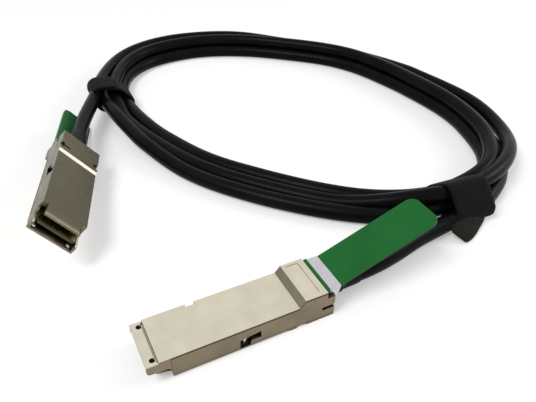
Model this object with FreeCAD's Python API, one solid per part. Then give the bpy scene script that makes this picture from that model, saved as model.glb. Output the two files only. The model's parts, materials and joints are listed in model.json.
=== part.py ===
import FreeCAD, Part
import math
import os

# Direct attach copper cable: two die-cast plugs joined by one jacketed twinax cable.
# Plug A lies flat on its underside, plug B leans on its side edge with its underside up,
# and the cable between them is coiled flat and held by two hook-and-loop ties.
# Each plug is drawn in its own frame: x runs rearward from the nose, y is across and
# z is up from the main underside. The row frame is plug A's, with z = 0 on the surface.

Vector = FreeCAD.Vector

# ---------------------------------------------------------------- plug envelope
PLUG_WIDTH = 18.35
PLUG_HEIGHT = 8.5
BLOCK_RISE = 2.4
BLOCK_DROP = 0.6
WALL_FRONT_X = 7.7
STEP_X = 46.6
STEP_RUN = 1.6
BLOCK_SLOPE_X = 51.4
BLOCK_SLOPE_LENGTH = 2.1
BLOCK_TOP_LENGTH = 8.4
REAR_LIP_LENGTH = 2.7
SIDE_WALL = 0.95
FLOOR = 1.2
REAR_WALL = 2.0
COVER_RIM = 0.4
COVER_PLATE = 1.3
COVER_REAR_RISE = 1.8
SEAM = 0.36
FIT = 0.1

# ---------------------------------------------------------------- nose
NOSE_STRIP_LENGTH = 4.0
NOSE_STRIP_STEP = 0.5
NOSE_FLANGE = 0.9
NOSE_FLANGE_Z = 4.4
NOSE_CORNER = 1.1
NOSE_HOLE_X = 2.5
NOSE_GROOVE_WIDTH = 0.7
NOSE_GROOVE_DEPTH = 0.3
NOSE_HOLE_PITCH = 14.1
NOSE_HOLE_DIAMETER = 1.8
TONGUE_REACH = 4.7
TONGUE_INSET = 2.2
TONGUE_Z = 1.0
TONGUE_THICKNESS = 0.9

# ---------------------------------------------------------------- small cut-outs
WINDOW_X = 30.0
WINDOW_LENGTH = 7.4
WINDOW_HEIGHT = 5.0
WINDOW_SILL = 1.9
TOP_NOTCH_X = 18.5
TOP_NOTCH_LENGTH = 3.0
TOP_NOTCH_DEPTH = 1.1
EDGE_NOTCH_X = 50.5
EDGE_NOTCH_LENGTH = 3.5
EDGE_NOTCH_HEIGHT = 0.7
EDGE_NOTCH_DEPTH = 1.5
FAR_NOTCH_X = 51.0
FAR_NOTCH_LENGTH = 2.2
FAR_NOTCH_HEIGHT = 1.7
FAR_NOTCH_DEPTH = 2.2
UNDER_SLOT_X = 51.6
UNDER_SLOT_WIDTH = 1.1
UNDER_SLOT_REACH = 4.4
UNDER_SLOT_DEPTH = 0.8
REAR_SLOT_LENGTH = 4.6
REAR_SLOT_Z = 3.2
REAR_SLOT_HEIGHT = 1.3
REAR_SLOT_DEPTH = 0.7
LABEL_RECESS_MARGIN = 1.3
LABEL_RECESS_DEPTH = 0.15
LABEL_RECESS_LENGTH = 5.2

# ---------------------------------------------------------------- card and wires
CARD_SIDE_CLEARANCE = 0.025
CARD_THICKNESS = 1.0
CARD_BELOW_MIDDLE = 0.05
CARD_FRONT_X = 1.6
CARD_NECK_X = 26.0
CARD_REAR_X = 43.0
CARD_NECK_STEP = 1.9
POST_X = 13.0
POST_REAR_OFFSET = 11.0
POST_LENGTH = 2.0
POST_INNER_Y = 3.0
POST_WIDTH = 2.0
CONTACT_COUNT = 19
CONTACT_MARGIN = 1.0
CONTACT_WIDTH = 0.54
CONTACT_LENGTH = 3.6
CONTACT_THICKNESS = 0.06
CHIP_SIZE = 3.0
CHIP_THICKNESS = 0.8
PAIR_RADIUS = 0.68
PAIR_PITCH = 2.6
PAIR_RING = 1.85
PAIR_SPREAD = 45.0

# ---------------------------------------------------------------- cable and its exit
CABLE_RADIUS = 3.5
CABLE_ABOVE_MIDDLE = 0.45
CABLE_START_X = 57.5
FERRULE_WALL = 0.4
FERRULE_FRONT_X = 56.5
FERRULE_FLANGE = 1.0
FERRULE_FLANGE_LENGTH = 1.4
FERRULE_FLANGE_BELOW = 4.0
FERRULE_FLANGE_ABOVE = 3.3
BOOT_WALL = 0.95
BOOT_STEP = 0.55
BOOT_COLLAR_LENGTH = 7.2
BOOT_LENGTH = 14.2
CABLE_CLEARANCE = 0.04
CABLE_STRAIGHT = 6.5

# ---------------------------------------------------------------- release slider and tab
SLIDER_TRAVEL = 3.0
SLIDER_SHEET = 0.5
SLIDER_GAP = 0.3
ARM_BOTTOM_Z = 1.6
ARM_HEIGHT = 3.0
ARM_TIP_X = 31.2
ARM_TIP_LENGTH = 2.6
ARM_TIP_RISE = 0.95
BRIDGE_X = 63.2
BRIDGE_LENGTH = 4.4
BRIDGE_INSET = 0.225
BRIDGE_SHEET = 0.8
LEG_HEEL_DROP = 1.3
LEG_FOOT_LENGTH = 0.6
LEG_ANKLE_RISE = 1.0
TAB_SHEET = 1.4
TAB_UNDER = 0.5
TAB_LENGTH = 42.0
TAB_CORNER = 3.5
TAB_EDGE_LENGTH = 1.4
TAB_EDGE_OVERHANG = 0.55
TAB_ANGLE_A = 18.8
TAB_ANGLE_B = 0.7

# ---------------------------------------------------------------- return springs
SPRING_RADIUS = 0.85
SPRING_WIRE = 0.2
SPRING_TURNS = 6
SPRING_LENGTH = 7.0
SPRING_LUG_X = 50.4
SPRING_LUG = 0.8

# ---------------------------------------------------------------- placing of plug B
PLUG_B_YAW = 73.6
PLUG_B_PITCH = 4.3
PLUG_B_ROLL = -131.8
PLUG_B_X = -9.8
PLUG_B_Y = 51.0
PLUG_B_Z = 21.4

# ---------------------------------------------------------------- coil and ties
COIL_CENTRE = (118.9, 126.2)
COIL_RADIUS = 81.94
COIL_OVAL = ((2, 19.87, 2.05), (3, 1.57, 0.58), (4, -4.64, 1.31))
COIL_SECTION_STEP = 7.0
COIL_CHAMFER = 2.6
TIE_THICKNESS = 1.3
TIE_CORNER = 4.5
TIE_LEFT_ANGLE = 149.0
TIE_LEFT_WIDTH = 13.0
TIE_RIGHT_ANGLE = -71.0
TIE_RIGHT_WIDTH = 19.0
TIE_LEFT_INSIDE = (-3.65, 14.55, 14.35)
TIE_RIGHT_INSIDE = (-4.55, 18.35, 18.05)

# Outer shape of the coil, clockwise from the left tie: angle about the centre, inner
# and outer offset from the innermost centreline, underside and top.
COIL_SHAPE = [
    (149.6, -3.5, 14.4, 1.45, 14.2), (144.5, -3.5, 14.4, 1.45, 14.2), (137, -3.5, 14.1, 0.1, 13.9),
    (125, -3.6, 13.5, 0, 13.4), (100, -3.5, 14.2, 0, 13.1), (75, -3.5, 14.9, 0, 13.1), (50, -3.3, 16.2, 0, 13.1),
    (25, -3.5, 17.8, 0, 13.1), (0, -3.5, 19.3, 0, 13.1), (-15, -3.1, 19.0, 0, 13.1), (-25, -4.0, 18.1, 0, 13.1),
    (-40, -5.7, 15.7, 0, 13.1), (-50, -7.1, 14.7, 0, 13.2), (-57, -6.4, 13.4, 0.4, 13.9),
    (-61, -5.6, 13.2, 1.0, 15.8), (-65.4, -3.4, 15.8, 1.45, 17.9), (-71, -4.3, 16.4, 1.45, 17.9),
    (-72.8, -4.3, 16.6, 1.45, 17.0), (-73.4, -4.2, 9.2, 1.45, 16.6), (-76.6, -3.2, 9.4, 1.45, 15.0),
    (-84, -4.0, 14.3, 0.4, 12.9), (-90, -3.5, 16.7, 0.2, 10.7), (-95, -3.1, 18.0, 0, 8.1),
    (-102, -3.2, 18.4, 0, 7.05), (-120, -3.5, 18.7, 0, 7.05), (-150, -3.5, 18.5, 0, 7.05),
    (-170, -3.5, 18.1, 0, 7.05), (-185, -3.5, 17.2, 0, 8.2), (-198, -3.5, 14.2, 0.6, 11.8),
    (-206.5, -3.5, 11.2, 1.45, 14.2), (-209.8, -3.5, 10.8, 1.45, 14.2),
]

# Lower and upper edge of the right tie's tail, from the strap to its tip.
TIE_TAIL_LEVEL = Vector(1, 0, 0)
TIE_TAIL_EDGES = [
    (Vector(153.0, 7.5, 1.6), Vector(148.0, 6.8, 11.0)), (Vector(145.3, 4.6, 0.9), Vector(139.8, 4.9, 6.4)),
    (Vector(139.8, 2.0, 0.8), Vector(134.5, 5.2, 4.8)), (Vector(134.2, -0.7, 0.8), Vector(130.0, 4.4, 4.2)),
    (Vector(129.7, -1.1, 0.8), Vector(127.4, 3.4, 3.2)),
]

# Routes of the two leads, from the plug's boot to where each one joins the coil.
LEAD_A_ROUTE = [
    Vector(98.5, 3.6, 4.5), Vector(111.0, 7.6, 3.8), Vector(124.0, 10.4, 3.7), Vector(136.5, 12.3, 4.3),
    Vector(149.2, 13.0, 4.9),
]
LEAD_B_ROUTE = [
    Vector(15.4, 145.5, 11.2), Vector(21.4, 156.5, 10.9), Vector(27.2, 166.0, 10.85), Vector(31.0, 175.0, 10.85),
]

HALF_WIDTH = PLUG_WIDTH / 2
INNER_HALF = HALF_WIDTH - SIDE_WALL
SEAM_Z = PLUG_HEIGHT - COVER_RIM
BLOCK_TOP_X = BLOCK_SLOPE_X + BLOCK_SLOPE_LENGTH
BLOCK_REAR_X = BLOCK_TOP_X + BLOCK_TOP_LENGTH
PLUG_LENGTH = BLOCK_REAR_X + REAR_LIP_LENGTH
BLOCK_TOP_Z = PLUG_HEIGHT + BLOCK_RISE
COVER_UNDER_Z = PLUG_HEIGHT - COVER_PLATE
COVER_REAR_UNDER_Z = COVER_UNDER_Z + COVER_REAR_RISE
REAR_WALL_X = PLUG_LENGTH - REAR_WALL
REAR_TOP_Z = SEAM_Z
CARD_Z = PLUG_HEIGHT / 2 - CARD_BELOW_MIDDLE
CARD_TOP_Z = CARD_Z + CARD_THICKNESS
CARD_WIDTH = 2 * (INNER_HALF - CARD_SIDE_CLEARANCE)
CARD_NECK_WIDTH = CARD_WIDTH - 2 * CARD_NECK_STEP
CONTACT_PITCH = (CARD_WIDTH - 2 * CONTACT_MARGIN) / (CONTACT_COUNT - 1)
POST_REAR_X = CARD_NECK_X + POST_REAR_OFFSET
CABLE_Z = PLUG_HEIGHT / 2 + CABLE_ABOVE_MIDDLE
FERRULE_RADIUS = CABLE_RADIUS + CABLE_CLEARANCE + FERRULE_WALL
ARM_Y = INNER_HALF - SLIDER_GAP
ARM_INNER_Y = ARM_Y - SLIDER_SHEET
BRIDGE_WIDTH = 2 * (ARM_Y - BRIDGE_INSET)
BRIDGE_TOP_Z = BLOCK_TOP_Z
BOOT_END_X = PLUG_LENGTH + SLIDER_GAP + BOOT_LENGTH
FLANGE_X = REAR_WALL_X - FIT - FERRULE_FLANGE_LENGTH
FLANGE_RADIUS = FERRULE_RADIUS + FERRULE_FLANGE
PLUG_B_ORIGIN = Vector(PLUG_B_X, PLUG_B_Y, PLUG_B_Z)


def box(x0, x1, y0, y1, z0, z1):
    """A box between two opposite corners."""
    return Part.makeBox(x1 - x0, y1 - y0, z1 - z0, Vector(x0, y0, z0))


def side_plate(outline, y0, y1):
    """A profile drawn in x and z, extruded across from y0 to y1."""
    points = [Vector(x, y0, z) for x, z in outline]
    face = Part.Face(Part.makePolygon(points + points[:1]))
    return face.extrude(Vector(0, y1 - y0, 0))


def flat_plate(outline, z0, z1):
    """A profile drawn in x and y, extruded up from z0 to z1."""
    points = [Vector(x, y, z0) for x, y in outline]
    face = Part.Face(Part.makePolygon(points + points[:1]))
    return face.extrude(Vector(0, 0, z1 - z0))


def rod(x0, x1, y, z, radius):
    """A round bar along x."""
    return Part.makeCylinder(radius, x1 - x0, Vector(x0, y, z), Vector(1, 0, 0))


def both_sides(solid):
    """The solid and its mirror image across the plug's centre plane."""
    return [solid, solid.mirror(Vector(0, 0, 0), Vector(0, 1, 0))]


def tube(points, radius, name=""):
    """A bar along straight runs joined by tangent arcs as large as the runs allow."""
    edges = []
    start = points[0]
    radii = []
    for i in range(1, len(points) - 1):
        before, corner, after = points[i - 1], points[i], points[i + 1]
        arriving = (corner - before).normalize()
        leaving = (after - corner).normalize()
        turn = arriving.getAngle(leaving)
        shorter = min((corner - before).Length, (after - corner).Length)
        arc_radius = 0.45 * shorter / math.tan(turn / 2)
        radii.append(round(arc_radius, 1))
        entry = corner - arriving * (0.45 * shorter)
        leave = corner + leaving * (0.45 * shorter)
        bisector = (leaving - arriving).normalize()
        centre = corner + bisector * (arc_radius / math.cos(turn / 2))
        middle = centre - bisector * arc_radius
        edges.append(Part.LineSegment(start, entry).toShape())
        edges.append(Part.Arc(entry, middle, leave).toShape())
        start = leave
    edges.append(Part.LineSegment(start, points[-1]).toShape())
    path = Part.Wire(edges)
    heading = (points[1] - points[0]).normalize()
    section = Part.Wire(Part.makeCircle(radius, points[0], heading))
    solid = path.makePipeShell([section], True, False)
    if name:
        expected = math.pi * radius ** 2 * path.Length
        print(name, "radii", radii, "length", round(path.Length, 1), "volume ratio", round(solid.Volume / expected, 5))
    return solid


def wall_outline(top_drop):
    """Side wall outline in x and z; its top edge runs under the cover's rim."""
    z = SEAM_Z - top_drop
    block_z = BLOCK_TOP_Z - COVER_RIM - top_drop
    return [
        (WALL_FRONT_X, 0), (STEP_X, 0), (STEP_X + STEP_RUN, -BLOCK_DROP), (PLUG_LENGTH, -BLOCK_DROP),
        (PLUG_LENGTH + 0.3, REAR_TOP_Z), (BLOCK_REAR_X, REAR_TOP_Z), (BLOCK_REAR_X, block_z),
        (BLOCK_TOP_X, block_z), (BLOCK_SLOPE_X, z), (WALL_FRONT_X, z),
    ]


def bottom_housing():
    """Lower half of the die casting: floor, side walls, rear wall and nose tongue."""
    inner_wall = side_plate(wall_outline(0), INNER_HALF, HALF_WIDTH - SEAM)
    outer_skin = side_plate(wall_outline(SEAM), HALF_WIDTH - SEAM, HALF_WIDTH)
    walls = both_sides(inner_wall.fuse(outer_skin))
    floor = side_plate([
        (WALL_FRONT_X, 0), (STEP_X, 0), (STEP_X + STEP_RUN, -BLOCK_DROP), (PLUG_LENGTH, -BLOCK_DROP),
        (PLUG_LENGTH, FLOOR), (WALL_FRONT_X, FLOOR),
    ], -INNER_HALF, INNER_HALF)
    rear = box(REAR_WALL_X, PLUG_LENGTH, -INNER_HALF, INNER_HALF, FLOOR, REAR_TOP_Z)
    tongue_half = HALF_WIDTH - TONGUE_INSET
    tongue_top = TONGUE_Z + TONGUE_THICKNESS
    tongue_tip_x = WALL_FRONT_X - TONGUE_REACH
    tongue = side_plate([
        (tongue_tip_x, TONGUE_Z), (WALL_FRONT_X, 0), (WALL_FRONT_X + SIDE_WALL, 0), (WALL_FRONT_X + SIDE_WALL, tongue_top),
        (tongue_tip_x, tongue_top),
    ], -tongue_half, tongue_half)
    sill = box(WALL_FRONT_X, WALL_FRONT_X + SIDE_WALL, -INNER_HALF, INNER_HALF, FLOOR, tongue_top)
    body = floor.fuse(walls + [rear, tongue, sill])
    for post_x in (POST_X, POST_REAR_X):
        post = box(post_x, post_x + POST_LENGTH, POST_INNER_Y, POST_INNER_Y + POST_WIDTH, FLOOR, CARD_Z)
        body = body.fuse(both_sides(post))
    stop = box(SPRING_LUG_X + SPRING_LUG + SPRING_LENGTH, SPRING_LUG_X + SPRING_LUG + SPRING_LENGTH + 1.0,
               FLANGE_RADIUS + 0.2, ARM_INNER_Y - SLIDER_GAP, FLOOR, ARM_BOTTOM_Z + ARM_HEIGHT)
    body = body.fuse(both_sides(stop))
    bore = rod(FERRULE_FRONT_X - 1, PLUG_LENGTH + 1, 0, CABLE_Z, FERRULE_RADIUS + FIT)
    seat = flange_shape(FLANGE_X - FIT, REAR_WALL_X, FIT)
    throat = box(REAR_WALL_X - 1, PLUG_LENGTH + 1, -FERRULE_RADIUS - FIT, FERRULE_RADIUS + FIT, CABLE_Z, PLUG_HEIGHT)
    arm_slot = box(REAR_WALL_X - 1, PLUG_LENGTH + 1, ARM_INNER_Y - SLIDER_GAP, INNER_HALF,
                   ARM_BOTTOM_Z - SLIDER_GAP, ARM_BOTTOM_Z + ARM_HEIGHT + SLIDER_GAP)
    body = body.cut([bore, seat, throat] + both_sides(arm_slot))
    window = side_plate([
        (WINDOW_X, 0.4), (WINDOW_X + 3.5, 0.4), (WINDOW_X + 4.0, 0.4 + WINDOW_SILL), (WINDOW_X + WINDOW_LENGTH, 0.4 + WINDOW_SILL),
        (WINDOW_X + WINDOW_LENGTH, WINDOW_HEIGHT), (WINDOW_X + 2.0, WINDOW_HEIGHT - 0.6), (WINDOW_X, WINDOW_HEIGHT - 1.2),
    ], INNER_HALF - 0.01, HALF_WIDTH + 1)
    edge_notch = box(EDGE_NOTCH_X, EDGE_NOTCH_X + EDGE_NOTCH_LENGTH, HALF_WIDTH - EDGE_NOTCH_DEPTH, HALF_WIDTH + 1,
                     -BLOCK_DROP - 1, -BLOCK_DROP + EDGE_NOTCH_HEIGHT)
    rear_slot = box(PLUG_LENGTH - REAR_SLOT_LENGTH, PLUG_LENGTH + 1, HALF_WIDTH - REAR_SLOT_DEPTH, HALF_WIDTH + 1,
                    REAR_SLOT_Z, REAR_SLOT_Z + REAR_SLOT_HEIGHT)
    far_notch = box(FAR_NOTCH_X, FAR_NOTCH_X + FAR_NOTCH_LENGTH, HALF_WIDTH - FAR_NOTCH_DEPTH, HALF_WIDTH + 1,
                    -BLOCK_DROP - 1, -BLOCK_DROP + FAR_NOTCH_HEIGHT)
    top_notch = box(TOP_NOTCH_X, TOP_NOTCH_X + TOP_NOTCH_LENGTH, HALF_WIDTH - TOP_NOTCH_DEPTH, HALF_WIDTH + 1,
                    COVER_UNDER_Z, PLUG_HEIGHT)
    under_slot = box(UNDER_SLOT_X, UNDER_SLOT_X + UNDER_SLOT_WIDTH, -HALF_WIDTH - 1, -HALF_WIDTH + UNDER_SLOT_REACH,
                     -BLOCK_DROP - 1, -BLOCK_DROP + UNDER_SLOT_DEPTH)
    cuts = both_sides(window) + both_sides(edge_notch) + both_sides(rear_slot) + [under_slot, far_notch, top_notch]
    return body.cut(cuts)


def top_cover():
    """Upper half of the die casting: plate, raised rear block, nose bridge and flanges."""
    plate_z = COVER_UNDER_Z
    inner = INNER_HALF - FIT
    rim = side_plate([
        (NOSE_STRIP_LENGTH, PLUG_HEIGHT), (BLOCK_SLOPE_X, PLUG_HEIGHT), (BLOCK_TOP_X, BLOCK_TOP_Z),
        (BLOCK_REAR_X, BLOCK_TOP_Z), (BLOCK_REAR_X, BLOCK_TOP_Z - COVER_RIM), (BLOCK_TOP_X, BLOCK_TOP_Z - COVER_RIM),
        (BLOCK_SLOPE_X, SEAM_Z), (NOSE_STRIP_LENGTH, SEAM_Z),
    ], -HALF_WIDTH, HALF_WIDTH)
    core = side_plate([
        (NOSE_STRIP_LENGTH, PLUG_HEIGHT), (BLOCK_SLOPE_X, PLUG_HEIGHT), (BLOCK_TOP_X, BLOCK_TOP_Z),
        (BLOCK_REAR_X, BLOCK_TOP_Z), (BLOCK_REAR_X, COVER_REAR_UNDER_Z), (BLOCK_SLOPE_X + 0.5, plate_z),
        (NOSE_STRIP_LENGTH, plate_z),
    ], -inner, inner)
    strip_top = PLUG_HEIGHT - NOSE_STRIP_STEP
    strip = box(0, NOSE_STRIP_LENGTH + 0.2, -HALF_WIDTH + NOSE_FLANGE, HALF_WIDTH - NOSE_FLANGE, plate_z, strip_top)
    nose_side = side_plate([
        (0, NOSE_FLANGE_Z + NOSE_CORNER), (NOSE_CORNER * 0.3, NOSE_FLANGE_Z + NOSE_CORNER * 0.3), (NOSE_CORNER, NOSE_FLANGE_Z),
        (WALL_FRONT_X - 1.4, NOSE_FLANGE_Z), (WALL_FRONT_X - FIT, NOSE_FLANGE_Z - 1.2), (WALL_FRONT_X - FIT, PLUG_HEIGHT),
        (NOSE_STRIP_LENGTH, PLUG_HEIGHT), (NOSE_STRIP_LENGTH, strip_top), (0, strip_top),
    ], HALF_WIDTH - NOSE_FLANGE, HALF_WIDTH)
    keeper = box(BLOCK_REAR_X - 4, PLUG_LENGTH, -FERRULE_RADIUS, FERRULE_RADIUS, CABLE_Z, COVER_REAR_UNDER_Z)
    keeper = keeper.cut(flange_shape(FLANGE_X - FIT, REAR_WALL_X, FIT))
    body = rim.fuse([core, strip, keeper] + both_sides(nose_side))
    for post_x in (POST_X, POST_REAR_X):
        post = box(post_x, post_x + POST_LENGTH, POST_INNER_Y, POST_INNER_Y + POST_WIDTH, CARD_TOP_Z, plate_z)
        body = body.fuse(both_sides(post))
    hole = Part.makeCylinder(NOSE_HOLE_DIAMETER / 2, PLUG_HEIGHT, Vector(NOSE_HOLE_X, NOSE_HOLE_PITCH / 2, 0))
    bore = rod(BLOCK_TOP_X, PLUG_LENGTH + 1, 0, CABLE_Z, FERRULE_RADIUS + FIT)
    notch = box(TOP_NOTCH_X, TOP_NOTCH_X + TOP_NOTCH_LENGTH, HALF_WIDTH - TOP_NOTCH_DEPTH, HALF_WIDTH + 1,
                SEAM_Z - 1, PLUG_HEIGHT + 1)
    recess_x = BLOCK_TOP_X + 0.9
    recess_half = HALF_WIDTH - LABEL_RECESS_MARGIN
    recess = box(recess_x, recess_x + LABEL_RECESS_LENGTH, -recess_half, recess_half,
                 BLOCK_TOP_Z - LABEL_RECESS_DEPTH, BLOCK_TOP_Z + 1)
    recess = recess.makeFillet(0.9, [e for e in recess.Edges if abs(e.tangentAt(e.FirstParameter).z) > 0.9])
    groove = box(NOSE_STRIP_LENGTH - NOSE_GROOVE_WIDTH, NOSE_STRIP_LENGTH, -HALF_WIDTH + NOSE_FLANGE,
                 HALF_WIDTH - NOSE_FLANGE, strip_top - NOSE_GROOVE_DEPTH, PLUG_HEIGHT)
    return body.cut(both_sides(hole) + [bore, notch, recess, groove])


def paddle_card():
    """Circuit card whose front edge is the plug's contact edge."""
    half = CARD_WIDTH / 2
    neck = CARD_NECK_WIDTH / 2
    outline = [
        (CARD_FRONT_X, -half + 0.8), (CARD_FRONT_X + 0.8, -half), (CARD_NECK_X, -half), (CARD_NECK_X + 1, -neck),
        (CARD_REAR_X, -neck), (CARD_REAR_X, neck), (CARD_NECK_X + 1, neck), (CARD_NECK_X, half),
        (CARD_FRONT_X + 0.8, half), (CARD_FRONT_X, half - 0.8),
    ]
    return flat_plate(outline, CARD_Z, CARD_TOP_Z)


def contact_pads():
    """Two rows of gold fingers, one on each face of the card."""
    pads = []
    first = -CONTACT_PITCH * (CONTACT_COUNT - 1) / 2
    for i in range(CONTACT_COUNT):
        y = first + i * CONTACT_PITCH
        x = CARD_FRONT_X + 0.5 + (0.4 if i % 3 else 0)
        end = CARD_FRONT_X + 0.9 + CONTACT_LENGTH
        low, high = y - CONTACT_WIDTH / 2, y + CONTACT_WIDTH / 2
        pads.append(box(x, end, low, high, CARD_TOP_Z, CARD_TOP_Z + CONTACT_THICKNESS))
        pads.append(box(x, end, low, high, CARD_Z - CONTACT_THICKNESS, CARD_Z))
    return Part.makeCompound(pads)


def memory_chip():
    """Small memory package on top of the card."""
    x = CARD_NECK_X - 6
    chip = box(x, x + CHIP_SIZE, -CHIP_SIZE / 2, CHIP_SIZE / 2, CARD_TOP_Z, CARD_TOP_Z + CHIP_THICKNESS)
    return chip.makeChamfer(0.15, [e for e in chip.Edges if e.BoundBox.ZMin > CARD_TOP_Z + 0.1])


def twinax_pairs():
    """Eight shielded pairs fanning out from the cable to both faces of the card."""
    wires = []
    for row, side in ((0, 1), (1, -1)):
        z_card = CARD_TOP_Z + PAIR_RADIUS if side > 0 else CARD_Z - PAIR_RADIUS
        for i in range(4):
            y_card = (i - 1.5) * PAIR_PITCH
            angle = math.radians(90 * side + (1.5 - i) * side * PAIR_SPREAD)
            y_end = PAIR_RING * math.cos(angle)
            z_end = CABLE_Z + PAIR_RING * math.sin(angle)
            wires.append(tube([
                Vector(CARD_REAR_X - 2.0, y_card, z_card), Vector(CARD_REAR_X + 2.5, y_card, z_card),
                Vector(CABLE_START_X - 4.0, y_end, z_end), Vector(CABLE_START_X, y_end, z_end),
            ], PAIR_RADIUS))
    return Part.makeCompound(wires)


def flange_shape(x0, x1, clearance):
    """Ferrule flange: a disc with its top and bottom cut flat, grown by a clearance."""
    disc = rod(x0, x1, 0, CABLE_Z, FLANGE_RADIUS + clearance)
    slab = box(x0, x1, -HALF_WIDTH, HALF_WIDTH, CABLE_Z - FERRULE_FLANGE_BELOW - clearance,
               CABLE_Z + FERRULE_FLANGE_ABOVE + clearance)
    return disc.common(slab)


def crimp_ferrule():
    """Flanged sleeve that locks the cable in the rear wall."""
    sleeve = rod(FERRULE_FRONT_X, PLUG_LENGTH, 0, CABLE_Z, FERRULE_RADIUS)
    flange = flange_shape(FLANGE_X, FLANGE_X + FERRULE_FLANGE_LENGTH, 0)
    return sleeve.fuse(flange).cut(rod(FERRULE_FRONT_X - 1, PLUG_LENGTH + 1, 0, CABLE_Z, CABLE_RADIUS + CABLE_CLEARANCE))


def cable_boot():
    """Short stepped strain relief behind the rear wall, turned about the cable."""
    x = PLUG_LENGTH + SLIDER_GAP
    inner = CABLE_RADIUS + CABLE_CLEARANCE
    collar = CABLE_RADIUS + BOOT_WALL
    sleeve = CABLE_RADIUS + BOOT_STEP
    profile = [
        (x, inner), (x, collar), (x + BOOT_COLLAR_LENGTH - 1.0, collar), (x + BOOT_COLLAR_LENGTH - 0.4, collar - 0.4),
        (x + BOOT_COLLAR_LENGTH, sleeve), (x + BOOT_LENGTH - 2.0, sleeve - 0.1), (x + BOOT_LENGTH, inner + 0.25),
        (x + BOOT_LENGTH, inner),
    ]
    points = [Vector(px, 0, CABLE_Z + r) for px, r in profile]
    face = Part.Face(Part.makePolygon(points + points[:1]))
    return face.revolve(Vector(0, 0, CABLE_Z), Vector(1, 0, 0), 360)


def release_slider():
    """Stamped steel slider: top bridge, two legs behind the rear wall and two long arms."""
    top = BRIDGE_TOP_Z
    half = BRIDGE_WIDTH / 2
    bridge = box(BRIDGE_X, BRIDGE_X + BRIDGE_LENGTH, -half, half, top - BRIDGE_SHEET, top)
    leg_x = PLUG_LENGTH + 0.3 + SLIDER_GAP
    rear_x = BRIDGE_X + BRIDGE_LENGTH
    ankle_z = ARM_BOTTOM_Z + ARM_HEIGHT + LEG_ANKLE_RISE
    leg = side_plate([
        (leg_x, ARM_BOTTOM_Z), (leg_x + LEG_FOOT_LENGTH, ARM_BOTTOM_Z), (leg_x + LEG_FOOT_LENGTH, ankle_z),
        (rear_x, top - LEG_HEEL_DROP), (rear_x, top), (leg_x, top),
    ], ARM_INNER_Y, ARM_Y)
    skirt = box(BRIDGE_X, rear_x, ARM_INNER_Y, ARM_Y, REAR_TOP_Z + SLIDER_GAP, top)
    skirt = skirt.cut(box(leg_x, rear_x + 1, 0, PLUG_WIDTH, 0, 2 * top))
    arm = box(ARM_TIP_X + ARM_TIP_LENGTH, leg_x, ARM_INNER_Y, ARM_Y, ARM_BOTTOM_Z, ARM_BOTTOM_Z + ARM_HEIGHT)
    reach = HALF_WIDTH - 0.15
    tip = flat_plate([
        (ARM_TIP_X + ARM_TIP_LENGTH + 1.2, ARM_INNER_Y), (ARM_TIP_X + ARM_TIP_LENGTH, ARM_INNER_Y),
        (ARM_TIP_X, reach - SLIDER_SHEET), (ARM_TIP_X, reach), (ARM_TIP_X + ARM_TIP_LENGTH, ARM_Y),
        (ARM_TIP_X + ARM_TIP_LENGTH + 1.2, ARM_Y),
    ], ARM_BOTTOM_Z + ARM_TIP_RISE, ARM_BOTTOM_Z + ARM_HEIGHT - 0.6)
    lug = box(SPRING_LUG_X, SPRING_LUG_X + SPRING_LUG, ARM_INNER_Y - 2 * SPRING_RADIUS - 2 * SPRING_WIRE, ARM_Y,
              ARM_BOTTOM_Z, ARM_BOTTOM_Z + ARM_HEIGHT)
    sides = []
    for piece in (leg, skirt, arm, tip, lug):
        sides += both_sides(piece)
    return bridge.fuse(sides)


def pull_tab(angle, slider):
    """Moulded tab over the slider's bridge, ending in a long flat tongue with round corners."""
    half = BRIDGE_WIDTH / 2
    low = BRIDGE_TOP_Z - BRIDGE_SHEET - TAB_UNDER
    front = BLOCK_REAR_X + SLIDER_GAP
    edge = box(front, front + TAB_EDGE_LENGTH - SLIDER_GAP, -half - TAB_EDGE_OVERHANG, half + TAB_EDGE_OVERHANG, low, BRIDGE_TOP_Z + 0.1)
    under = box(front, BRIDGE_X + BRIDGE_LENGTH + 2.0, -half, half, low, BRIDGE_TOP_Z - BRIDGE_SHEET)
    root_x = BRIDGE_X + BRIDGE_LENGTH
    root = box(root_x, root_x + 2.0, -half, half, low, BRIDGE_TOP_Z)
    start_x = root_x
    tongue = box(start_x, start_x + TAB_LENGTH, -half, half, BRIDGE_TOP_Z - TAB_SHEET, BRIDGE_TOP_Z)
    corners = [e for e in tongue.Edges if e.BoundBox.XMin > start_x + TAB_LENGTH - 0.1 and e.BoundBox.ZLength > TAB_SHEET - 0.1]
    tongue = tongue.makeFillet(TAB_CORNER, corners)
    tongue.rotate(Vector(start_x, 0, BRIDGE_TOP_Z - TAB_SHEET), Vector(0, 1, 0), -angle)
    tongue = tongue.cut(box(start_x - 5, start_x, -PLUG_WIDTH, PLUG_WIDTH, 0, 2 * BRIDGE_TOP_Z))
    return edge.fuse([under, root, tongue]).cut(slider)


def return_spring():
    """One closed-pitch compression spring lying along x, ends squared by flat cuts."""
    pitch = (SPRING_LENGTH - 2 * SPRING_WIRE) / SPRING_TURNS
    helix = Part.makeHelix(pitch, SPRING_LENGTH - 2 * SPRING_WIRE, SPRING_RADIUS)
    section = Part.Wire(Part.makeCircle(SPRING_WIRE, Vector(SPRING_RADIUS, 0, 0), Vector(0, 1, 0)))
    coil = helix.makePipeShell([section], True, True)
    coil.rotate(Vector(0, 0, 0), Vector(0, 1, 0), 90)
    y = ARM_INNER_Y - SPRING_RADIUS - SPRING_WIRE - 0.15
    coil.translate(Vector(SPRING_LUG_X + SPRING_LUG + SPRING_WIRE, y, ARM_BOTTOM_Z + ARM_HEIGHT / 2))
    return coil


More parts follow.
